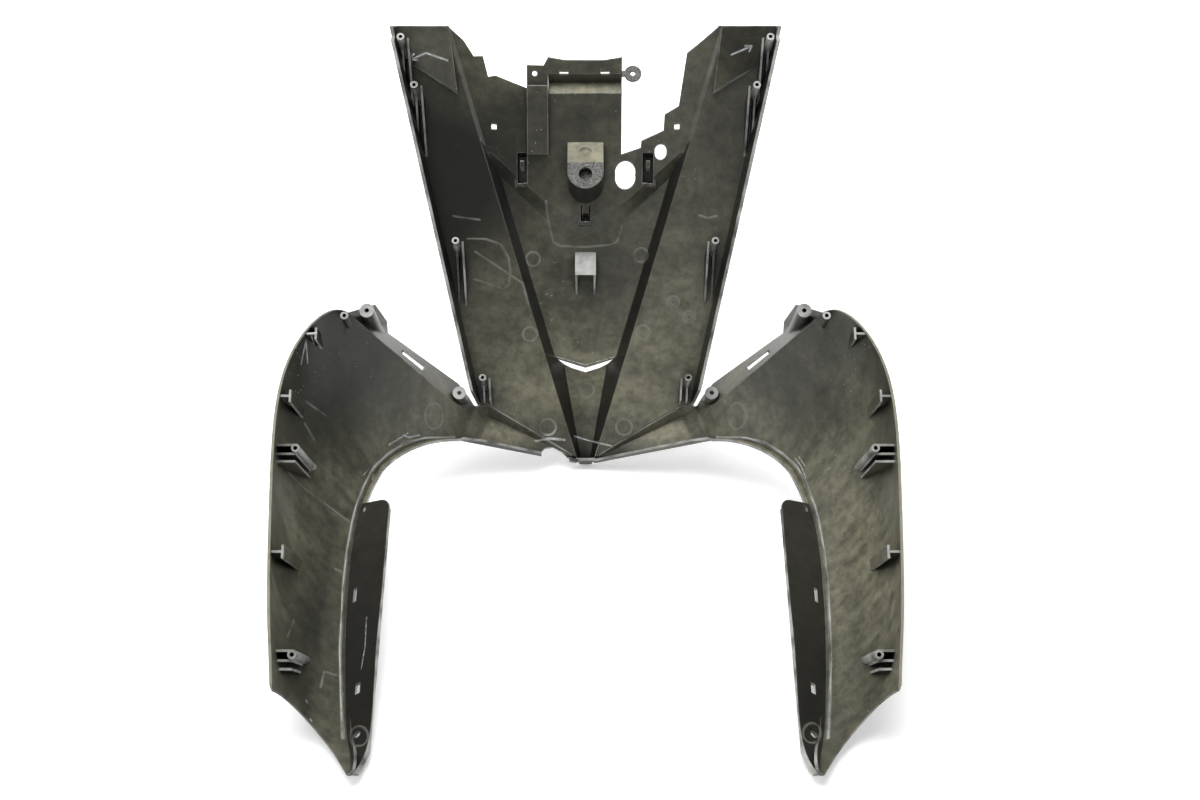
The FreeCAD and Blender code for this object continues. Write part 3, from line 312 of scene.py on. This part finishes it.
counts = [0] * FINISHES
unsorted = set(bm.faces)
while unsorted:
    patch = smooth_patch(next(iter(unsorted)))
    unsorted -= patch
    votes = [0.0] * FINISHES
    for face in patch:
        votes[finish_of(face)] += face.calc_area()
    winner = votes.index(max(votes))
    for face in patch:
        face.material_index = winner
    counts[winner] += 1
bm.to_mesh(moulding_mesh)
bm.free()
for name in ("custom_normal", "sharp_face"):
    if name in moulding_mesh.attributes:
        moulding_mesh.attributes.remove(moulding_mesh.attributes[name])
moulding = bpy.data.objects.new("fairing_moulding", moulding_mesh)
bpy.context.collection.objects.link(moulding)
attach(moulding, "root")
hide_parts("front_fairing_shell")
# The edge count holds the bracket's painted highlight, and the clean count is the faces painted dark as
# shade.
print("patches inside, outside, edge, clean and pitted", counts)

# %% [markdown]
# Road dust lies on the inner side in soft clouds, wiped away in places. One noise gives the clouds, a
# stretched one the wipe marks, and a finer one the mottling. The mask is thicker low down, thinner again at
# the feet, thinner on the left half and thinner at three round spots: the left panel, the left wing's top and
# the centre.
# Faces that look up are painted paler in the same mask: a painted highlight of the overhead softbox. It is a
# node group, because several finishes use it.


# %% Dust and painted top highlight
def node_group(name, inputs, outputs):
    group = bpy.data.node_groups.new(name, "ShaderNodeTree")
    for socket, kind, value in inputs:
        made = group.interface.new_socket(name=socket, in_out="INPUT", socket_type=kind)
        if value is not None:
            made.default_value = value
    for socket, kind in outputs:
        group.interface.new_socket(name=socket, in_out="OUTPUT", socket_type=kind)
    return group, group.nodes.new("NodeGroupInput"), group.nodes.new("NodeGroupOutput")


def noise(group, vector, scale, detail, rough=0.55):
    node = group.nodes.new("ShaderNodeTexNoise")
    node.inputs["Scale"].default_value = scale
    node.inputs["Detail"].default_value = detail
    node.inputs["Roughness"].default_value = rough
    group.links.new(vector, node.inputs["Vector"])
    return node.outputs["Fac"]


def remap(group, value, low, high, to_low=0.0, to_high=1.0):
    node = group.nodes.new("ShaderNodeMapRange")
    for socket, number in (("From Min", low), ("From Max", high), ("To Min", to_low), ("To Max", to_high)):
        node.inputs[socket].default_value = number
    group.links.new(value, node.inputs["Value"])
    return node.outputs["Result"]


def sums(group, operation, first, second):
    node = group.nodes.new("ShaderNodeMath")
    node.operation = operation
    node.use_clamp = True
    for socket, value in zip(node.inputs, (first, second)):
        if isinstance(value, (int, float)):
            socket.default_value = value
        else:
            group.links.new(value, socket)
    return node.outputs[0]


def away_from(group, place, middle):
    node = group.nodes.new("ShaderNodeVectorMath")
    node.operation = "DISTANCE"
    node.inputs[1].default_value = middle
    group.links.new(place, node.inputs[0])
    return node.outputs["Value"]


VECTOR, NUMBER = "NodeSocketVector", "NodeSocketFloat"
dust_and_highlight, dust_highlight_in, dust_highlight_out = node_group(
    "dust_and_highlight", [("Place", VECTOR, None), ("Amount", NUMBER, 1.0)], [("Mask", NUMBER)])
stretch = dust_and_highlight.nodes.new("ShaderNodeMapping")
stretch.inputs["Rotation"].default_value = (0.4, 0.3, 0.6)
stretch.inputs["Scale"].default_value = (1.0, 4.0, 1.4)
dust_and_highlight.links.new(dust_highlight_in.outputs["Place"], stretch.inputs["Vector"])
clouds = remap(dust_and_highlight, noise(dust_and_highlight, dust_highlight_in.outputs["Place"], 7.0, 4.0), 0.34, 0.64, 0.3, 1.0)
wipes = remap(dust_and_highlight, noise(dust_and_highlight, stretch.outputs["Vector"], 26.0, 4.0), 0.36, 0.62, 0.6, 1.0)
mottle = remap(dust_and_highlight, noise(dust_and_highlight, dust_highlight_in.outputs["Place"], 120.0, 6.0, 0.7), 0.36, 0.62, 0.5, 1.0)
place_parts = dust_and_highlight.nodes.new("ShaderNodeSeparateXYZ")
dust_and_highlight.links.new(dust_highlight_in.outputs["Place"], place_parts.inputs["Vector"])
lower = remap(dust_and_highlight, place_parts.outputs["Z"], 0.24, 0.06, 0.42, 1.0)
feet = remap(dust_and_highlight, place_parts.outputs["Z"], 0.08, 0.01, 1.0, 0.25)
across = remap(dust_and_highlight, place_parts.outputs["X"], -0.22, 0.20, 0.9, 1.0)
# Three round spots where the mask is thinner: the left panel, the left wing's top and the centre.
THIN_SPOTS = [((-0.135, 0.205, 0.27), 0.05, 0.11, 0.05), ((-0.21, 0.06, 0.165), 0.04, 0.11, 0.20),
         ((-0.01, 0.208, 0.17), 0.02, 0.08, 0.55)]
kept = None
for middle, near, far, left in THIN_SPOTS:
    share = remap(dust_and_highlight, away_from(dust_and_highlight, dust_highlight_in.outputs["Place"], middle), near, far, left, 1.0)
    kept = sums(dust_and_highlight, "MULTIPLY", kept, share) if kept else share
level = sums(dust_and_highlight, "MULTIPLY", sums(dust_and_highlight, "MULTIPLY", lower, feet), sums(dust_and_highlight, "MULTIPLY", across, kept))
facing = dust_and_highlight.nodes.new("ShaderNodeNewGeometry")
facing_parts = dust_and_highlight.nodes.new("ShaderNodeSeparateXYZ")
dust_and_highlight.links.new(facing.outputs["Normal"], facing_parts.inputs["Vector"])
# Painted highlight: faces that look up are painted paler, standing in for the overhead softbox's reflection.
faces_up = remap(dust_and_highlight, facing_parts.outputs["Z"], 0.66, 0.80, 0.0, 0.8)
patchy = sums(dust_and_highlight, "MULTIPLY", clouds, wipes)
thickness = sums(dust_and_highlight, "MULTIPLY", patchy, sums(dust_and_highlight, "MULTIPLY", mottle, level))
painted_top_highlight = sums(dust_and_highlight, "MULTIPLY", sums(dust_and_highlight, "MULTIPLY", faces_up, mottle), feet)
dust_plus_highlight = sums(dust_and_highlight, "ADD", thickness, painted_top_highlight)
dust_and_highlight.links.new(sums(dust_and_highlight, "MULTIPLY", dust_plus_highlight, dust_highlight_in.outputs["Amount"]), dust_highlight_out.inputs["Mask"])
print("group", dust_and_highlight.name)

# %% [markdown]
# Corners rub pale, and grooves are painted dark: painted shade, where light reaches less. Both can be found
# from the shape: rays sent into the wall meet another face only near an outer corner, and rays sent outwards
# meet one only inside a groove. A noise breaks the rubbed line up.

# %% Edge wear and painted groove shade
wear_and_shade, wear_shade_in, wear_shade_out = node_group(
    "edge_wear_and_shade", [("Place", VECTOR, None), ("Corner", NUMBER, 0.001), ("Groove", NUMBER, 0.012)],
    [("Rubbed", NUMBER), ("GrooveShade", NUMBER)])
rub = wear_and_shade.nodes.new("ShaderNodeAmbientOcclusion")
rub.inside = True
rub.samples = 6
wear_and_shade.links.new(wear_shade_in.outputs["Corner"], rub.inputs["Distance"])
groove = wear_and_shade.nodes.new("ShaderNodeAmbientOcclusion")
groove.samples = 6
wear_and_shade.links.new(wear_shade_in.outputs["Groove"], groove.inputs["Distance"])
rub_line = remap(wear_and_shade, rub.outputs["AO"], 0.95, 0.55)
rub_breaks = remap(wear_and_shade, noise(wear_and_shade, wear_shade_in.outputs["Place"], 60.0, 4.0), 0.34, 0.56, 0.15, 1.0)
wear_and_shade.links.new(sums(wear_and_shade, "MULTIPLY", rub_line, rub_breaks), wear_shade_out.inputs["Rubbed"])
# Painted shade: this output darkens where ambient occlusion finds a groove.
wear_and_shade.links.new(remap(wear_and_shade, groove.outputs["AO"], 0.75, 0.25), wear_shade_out.inputs["GrooveShade"])
print("group", wear_and_shade.name)

# %% [markdown]
# Moulded plastic is never quite flat. A slow wave bends its reflections, and the mould's spark-worn texture
# adds a fine grain. Both go out as one height, which a Bump node in each material turns into a normal.

# %% Grain
grain, grain_in, grain_out = node_group(
    "mould_grain", [("Place", VECTOR, None), ("Fine", NUMBER, 0.2), ("Slow", NUMBER, 1.0)],
    [("Height", NUMBER)])
fine = sums(grain, "MULTIPLY", noise(grain, grain_in.outputs["Place"], 1300.0, 2.0), grain_in.outputs["Fine"])
slow = sums(grain, "MULTIPLY", noise(grain, grain_in.outputs["Place"], 24.0, 2.0), grain_in.outputs["Slow"])
grain.links.new(sums(grain, "ADD", fine, slow), grain_out.inputs["Height"])
print("group", grain.name)

# %% [markdown]
# Grit and small chips show as pale specks, thick in some patches and missing in others. Cells of a Voronoi
# texture give one speck each, and a noise decides where they are.

# %% Specks
specks, specks_in, specks_out = node_group(
    "specks", [("Place", VECTOR, None), ("Size", NUMBER, 0.12)], [("Mask", NUMBER)])
cells = specks.nodes.new("ShaderNodeTexVoronoi")
cells.inputs["Scale"].default_value = 190.0
specks.links.new(specks_in.outputs["Place"], cells.inputs["Vector"])
patches = remap(specks, noise(specks, specks_in.outputs["Place"], 16.0, 3.0), 0.46, 0.70)
reach = sums(specks, "MULTIPLY", patches, specks_in.outputs["Size"])
specks.links.new(sums(specks, "LESS_THAN", cells.outputs["Distance"], reach), specks_out.inputs["Mask"])
print("group", specks.name)

# %% [markdown]
# A mark that the photograph shows is laid on the skin where it shows: a ray goes from the camera through
# that pixel and meets the tree of faces. The same ray gives the places of the breaks, where stressed
# plastic has turned white.


# %% Finding a place on the skin
def spot(pixel_x, pixel_y):
    """The point of the skin behind a pixel of the photograph, and the skin's direction there."""
    ahead = Vector((0.0, math.cos(CAMERA_PITCH), -math.sin(CAMERA_PITCH)))
    upward = Vector((0.0, math.sin(CAMERA_PITCH), math.cos(CAMERA_PITCH)))
    across = (pixel_x - CENTRE_PIXEL) / FOCAL_PIXELS
    down = (pixel_y - IMAGE_HEIGHT / 2) / FOCAL_PIXELS
    ray = (ahead + Vector((across, 0.0, 0.0)) - upward * down).normalized()
    place, normal = surface.ray_cast(camera.location, ray)[:2]
    if place is None:
        return None
    return place, (normal if normal.dot(ray) < 0 else -normal)


BREAKS = [
    ((556, 446), 0.022), ((598, 452), 0.008), ((390, 45), 0.014), ((396, 62), 0.012), ((781, 46), 0.014),
]
break_places = [(spot(*pixel), reach) for pixel, reach in BREAKS]
print("breaks found", sum(found is not None for found, reach in break_places))

# %% [markdown]
# The inner finish: charcoal plastic under olive dust, satin rather than shiny. Faces that look up come out
# paler from the dust mask, a painted highlight, and grooves are painted near-black, a painted shade. The
# Bevel node rounds every corner for the light, as a moulding's corners are, without a single new face.


# %% Inner plastic
def blend(tree, mask, first, second):
    node = tree.nodes.new("ShaderNodeMix")
    node.data_type = "RGBA"
    tree.links.new(mask, node.inputs["Factor"])
    colours = [s for s in node.inputs if s.type == "RGBA"]
    for socket, value in zip(colours, (first, second)):
        if isinstance(value, tuple):
            socket.default_value = value + (1.0,)
        else:
            tree.links.new(value, socket)
    return next(s for s in node.outputs if s.type == "RGBA")


def place_group(tree, group, place, **values):
    node = tree.nodes.new("ShaderNodeGroup")
    node.node_tree = group
    tree.links.new(place, node.inputs["Place"])
    for socket, value in values.items():
        node.inputs[socket].default_value = value
    return node.outputs


def rounded(tree, height, radius, strength, distance):
    soft = tree.nodes.new("ShaderNodeBevel")
    soft.samples = 4
    soft.inputs["Radius"].default_value = radius
    bump = tree.nodes.new("ShaderNodeBump")
    bump.inputs["Strength"].default_value = strength
    bump.inputs["Distance"].default_value = distance
    tree.links.new(height, bump.inputs["Height"])
    tree.links.new(soft.outputs["Normal"], bump.inputs["Normal"])
    return bump.outputs["Normal"]


def new_finish(name):
    finish = bpy.data.materials.new(name)
    finish.use_nodes = True
    tree = finish.node_tree
    place = tree.nodes.new("ShaderNodeTexCoord").outputs["Object"]
    return finish, tree, place, tree.nodes["Principled BSDF"]


WHITE_SHARE = 0.4
ROUNDING = 0.0009
inner, tree, place, shader = new_finish("inner_plastic")
dust_highlight_mask = place_group(tree, dust_and_highlight, place, Amount=1.0)["Mask"]
worn_and_shaded = place_group(tree, wear_and_shade, place, Groove=0.018)
speckled = place_group(tree, specks, place, Size=0.13)["Mask"]
# The dust colour also serves as the painted highlight on faces that look up.
colour = blend(tree, dust_highlight_mask, (0.010, 0.0102, 0.0088), (0.235, 0.224, 0.154))
# Painted shade: grooves darkened to near-black.
colour = blend(tree, worn_and_shaded["GrooveShade"], colour, (0.007, 0.007, 0.006))
colour = blend(tree, worn_and_shaded["Rubbed"], colour, (0.20, 0.20, 0.18))
colour = blend(tree, speckled, colour, (0.30, 0.295, 0.27))
for found, reach in break_places:
    if found:
        near = remap(tree, away_from(tree, place, found[0]), reach, reach * WHITE_SHARE)
        colour = blend(tree, sums(tree, "MULTIPLY", near, worn_and_shaded["Rubbed"]), colour, (0.75, 0.75, 0.72))
tree.links.new(colour, shader.inputs["Base Color"])
tree.links.new(remap(tree, dust_highlight_mask, 0.0, 0.8, 0.30, 0.54), shader.inputs["Roughness"])
shader.inputs["Specular IOR Level"].default_value = 0.36
height = place_group(tree, grain, place, Fine=0.05, Slow=0.35)["Height"]
tree.links.new(rounded(tree, height, ROUNDING, 0.45, 0.0014), shader.inputs["Normal"])
moulding_mesh.materials.append(inner)
print("material", inner.name)

# %% [markdown]
# The outer finish can't be seen in the photograph. Such fairings are polished there, so it is a gloss black
# with the same dust and painted top highlight, thinner, and the same rubbed corners.

# %% Outer plastic
outer, tree, place, shader = new_finish("outer_gloss")
dust_highlight_mask = place_group(tree, dust_and_highlight, place, Amount=0.35)["Mask"]
worn_and_shaded = place_group(tree, wear_and_shade, place, Corner=0.0008)
colour = blend(tree, dust_highlight_mask, (0.011, 0.011, 0.012), (0.050, 0.049, 0.044))
colour = blend(tree, worn_and_shaded["Rubbed"], colour, (0.16, 0.16, 0.15))
tree.links.new(colour, shader.inputs["Base Color"])
tree.links.new(remap(tree, dust_highlight_mask, 0.0, 0.5, 0.10, 0.34), shader.inputs["Roughness"])
height = place_group(tree, grain, place, Fine=0.0, Slow=0.6)["Height"]
tree.links.new(rounded(tree, height, ROUNDING, 0.15, 0.0010), shader.inputs["Normal"])
moulding_mesh.materials.append(outer)
print("material", outer.name)

# %% [markdown]
# Edges and post rings are painted a pale grey, in a broken line: rubbed wear, and a painted highlight where
# they face the overhead softbox. The shaded faces are the same plastic as the inner side, painted a darker
# satin with little dust on it: painted shade.

# %% Pale edges and painted shade
edges, tree, place, shader = new_finish("pale_edge_and_highlight")
pale_share = remap(tree, noise(tree, place, 45.0, 5.0), 0.34, 0.60)
# Pale grey: rubbed wear, and a painted highlight on the bracket's top, post rings and rims.
tree.links.new(blend(tree, pale_share, (0.070, 0.070, 0.064), (0.36, 0.362, 0.34)), shader.inputs["Base Color"])
tree.links.new(remap(tree, pale_share, 0.0, 1.0, 0.28, 0.42), shader.inputs["Roughness"])
moulding_mesh.materials.append(edges)

shaded_finish, tree, place, shader = new_finish("shaded_plastic")
dust_highlight_mask = place_group(tree, dust_and_highlight, place, Amount=0.30)["Mask"]
worn_and_shaded = place_group(tree, wear_and_shade, place)
# Painted shade: the sideways faces and leg flanges are given a darker colour.
colour = blend(tree, dust_highlight_mask, (0.008, 0.008, 0.0075), (0.095, 0.087, 0.066))
colour = blend(tree, worn_and_shaded["Rubbed"], colour, (0.14, 0.14, 0.125))
tree.links.new(colour, shader.inputs["Base Color"])
tree.links.new(remap(tree, dust_highlight_mask, 0.0, 0.4, 0.30, 0.45), shader.inputs["Roughness"])
shader.inputs["Specular IOR Level"].default_value = 0.35
height = place_group(tree, grain, place, Fine=0.05, Slow=0.8)["Height"]
tree.links.new(rounded(tree, height, ROUNDING, 0.30, 0.0012), shader.inputs["Normal"])
moulding_mesh.materials.append(shaded_finish)
print("materials", edges.name, shaded_finish.name)

# %% [markdown]
# The face of the keyhole boss and the ring tab are cast rough: dull, with pale grains in a dark skin. One
# fine noise gives the grains both their colour and their height.

# %% Pitted face
pitted, tree, place, shader = new_finish("pitted_plastic")
grains = remap(tree, noise(tree, place, 900.0, 3.0, 0.7), 0.44, 0.62)
tree.links.new(blend(tree, grains, (0.045, 0.045, 0.042), (0.24, 0.24, 0.225)), shader.inputs["Base Color"])
shader.inputs["Roughness"].default_value = 0.72
tree.links.new(rounded(tree, grains, ROUNDING, 0.5, 0.0004), shader.inputs["Normal"])
moulding_mesh.materials.append(pitted)
print("material", pitted.name)

# %% [markdown]
# Fine lines and marks are beads: a round wire along the skin, sunk until only a low ridge is left. A curve
# with a bevel gives the wire, and it is made a mesh at once. Between the given points the line is cast
# again every few pixels, so that it follows the skin, and it is cut where the skin jumps.


# %% Beads on the skin
BEAD_STEP = 3.0
BEAD_JUMP = 0.010
RING_POINTS = 20


def along(path):
    """Pixels a few apart on the straight runs between the given ones."""
    made = []
    for (ax, ay), (bx, by) in zip(path, path[1:]):
        count = max(1, round(math.dist((ax, ay), (bx, by)) / BEAD_STEP))
        made += [(ax + (bx - ax) * k / count, ay + (by - ay) * k / count) for k in range(count)]
    return made + [path[-1]]


def ring(x, y, radius_x, radius_y=None):
    """Pixels on a closed ring, the first one repeated at the end."""
    turns = [2 * math.pi * k / RING_POINTS for k in range(RING_POINTS + 1)]
    return [(x + radius_x * math.cos(t), y + (radius_y or radius_x) * math.sin(t)) for t in turns]


def bead_piece(name, paths, radius, sunk, finish):
    wire = bpy.data.curves.new(name, "CURVE")
    wire.dimensions = "3D"
    wire.bevel_depth = radius
    wire.bevel_resolution = 1
    wire.use_fill_caps = True
    for path in paths:
        runs = [[]]
        for found in (spot(*pixel) for pixel in along(path)):
            here = found and found[0] - found[1] * (radius * sunk)
            if not here or (runs[-1] and (here - runs[-1][-1]).length > BEAD_JUMP):
                runs.append([])
            if here:
                runs[-1].append(here)
        for run in runs:
            if len(run) > 1:
                spline = wire.splines.new("POLY")
                spline.points.add(len(run) - 1)
                for point, here in zip(spline.points, run):
                    point.co = (*here, 1.0)
    holder = bpy.data.objects.new(name + "_wire", wire)
    bpy.context.collection.objects.link(holder)
    mesh = bpy.data.meshes.new_from_object(holder.evaluated_get(bpy.context.evaluated_depsgraph_get()))
    bpy.data.objects.remove(holder)
    mesh.name = name
    mesh.materials.clear()
    mesh.materials.append(finish)
    for face in mesh.polygons:
        face.use_smooth = True
    piece = bpy.data.objects.new(name, mesh)
    bpy.context.collection.objects.link(piece)
    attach(piece, "root")
    print(name, len(mesh.polygons), "faces")


# %% [markdown]
# Where the mould's inserts and ejector pins met, the plastic keeps faint raised lines and rings. They are
# the same plastic, a little paler, under the same dust mask with its painted top highlight. A few long
# scratches on the left leg look the same, so they are drawn with them.

# %% Witness lines
witness, tree, place, shader = new_finish("witness_plastic")
dust_highlight_mask = place_group(tree, dust_and_highlight, place, Amount=0.9)["Mask"]
tree.links.new(blend(tree, dust_highlight_mask, (0.036, 0.036, 0.032), (0.19, 0.184, 0.140)), shader.inputs["Base Color"])
tree.links.new(remap(tree, dust_highlight_mask, 0.0, 1.0, 0.38, 0.50), shader.inputs["Roughness"])
WITNESS_LINES = [
    [(467, 238.6), (486, 239), (501, 244.5), (508.8, 258), (510.4, 272), (508.8, 285), (504, 289),
     (474, 279)],
    [(475, 251.6), (485, 258), (509, 274), (523, 283.5), (531, 317)],
    [(453, 216), (466, 218), (480, 219.7)],
    [(546, 201), (548.6, 223), (553.4, 242), (560, 246), (585, 247), (609, 245), (617, 242), (622, 226)],
    [(699, 215), (707, 218), (717, 216)],
    [(305.5, 401), (326, 415.7)], [(304.4, 423), (314.7, 440.4)], [(288, 472), (305, 489), (352, 523.5)],
    [(294, 620), (287.5, 637)], [(335, 568.7), (344, 573)], [(337, 675.5), (324.3, 671.3), (320.6, 687.6)],
]
WITNESS_RINGS = [
    (548, 427, 8), (624, 427, 8), (434, 416, 9, 13), (737, 416, 9, 13), (530, 334, 7), (643, 332, 7),
    (533, 259, 7), (641, 255, 7), (587, 390, 7), (673, 302, 6), (673, 302, 3), (689, 317, 6), (689, 317, 3),
    (359, 736, 9, 10), (812, 733, 9, 10), (585.5, 178, 9.5),
]
bead_piece("witness_lines", WITNESS_LINES + [ring(*r) for r in WITNESS_RINGS], 0.0005, 0.72, witness)

# %% [markdown]
# The rolled rim of the arch and of each leg's ridge is drawn as a pale line as wide as a wire, in the pale
# edge finish: rubbed wear and a painted highlight along the rim. One side is given, and the other is its
# mirror image.

# %% Rim of the arch
LEFT_RIM = [(455, 437.5), (425, 438), (405, 443), (388, 454), (373.5, 467.5), (364, 485.5), (356, 506.5),
            (352, 523), (347, 550.5), (343, 588), (340, 648), (341, 697), (343, 739)]
right_rim = [(2 * CENTRE_PIXEL - x, y) for x, y in LEFT_RIM]
bead_piece("arch_rim", [LEFT_RIM, right_rim], 0.0013, 0.6, edges)

# %% [markdown]
# Somebody marked the fairing with a paint pen: arrows on the horns, on the left wing and beside the arch.
# The paint is a flat pale film with a hint of blue, worn thin in places.

# %% Paint-pen strokes
paint, tree, place, shader = new_finish("pen_paint")
thin = remap(tree, noise(tree, place, 220.0, 3.0), 0.35, 0.65)
tree.links.new(blend(tree, thin, (0.20, 0.21, 0.22), (0.62, 0.66, 0.70)), shader.inputs["Base Color"])
shader.inputs["Roughness"].default_value = 0.6
PEN_STROKES = [
    [(410, 60), (426, 53), (448, 60.6)], [(410, 60), (418, 60)], [(410, 60), (414, 54)],
    [(731, 55), (752, 46)], [(752, 46), (745, 46)], [(752, 46), (749, 52)],
    [(301, 364.6), (306, 340.5), (307.8, 363.5)], [(307, 334), (317, 332.5)], [(311, 333.5), (314, 344)],
    [(388.8, 445), (408, 433)], [(403, 435), (409, 437.5), (420, 435)],
    [(535, 441), (550, 438.5), (565, 440)], [(574, 436), (590, 441), (612, 446)],
]
bead_piece("pen_strokes", PEN_STROKES, 0.0007, 0.75, paint)

# %% [markdown]
# Scrapes from the road run along the arch, the horns' outer edges are chipped, the lip of the vent is
# rubbed, and the left leg has a few chips. They are narrower than the pen strokes, and the plastic in them
# is white.

# %% Scrapes
scraped, tree, place, shader = new_finish("scraped_plastic")
torn = remap(tree, noise(tree, place, 300.0, 3.0), 0.38, 0.62)
tree.links.new(blend(tree, torn, (0.10, 0.10, 0.09), (0.55, 0.55, 0.52)), shader.inputs["Base Color"])
shader.inputs["Roughness"].default_value = 0.7
SCRAPES = [
    [(366, 482), (370, 474), (376, 467)], [(363, 476), (369, 468)], [(372, 480), (374, 474)],
    [(795, 458), (801, 466), (806, 478)], [(799, 457), (805, 466)],
    [(384, 36), (387, 50), (391, 62)], [(788, 34), (785, 48), (781, 60)],
    [(557, 357), (585.5, 365), (614, 357)], [(366.5, 617), (365, 646.4), (361.2, 669.4)],
    [(306, 700), (307.5, 703.5)], [(300, 718.5), (302, 722)], [(310, 718.5), (312, 721.5)],
    [(316, 729), (316.5, 732)],
]
bead_piece("scrapes", SCRAPES, 0.0004, 0.6, scraped)
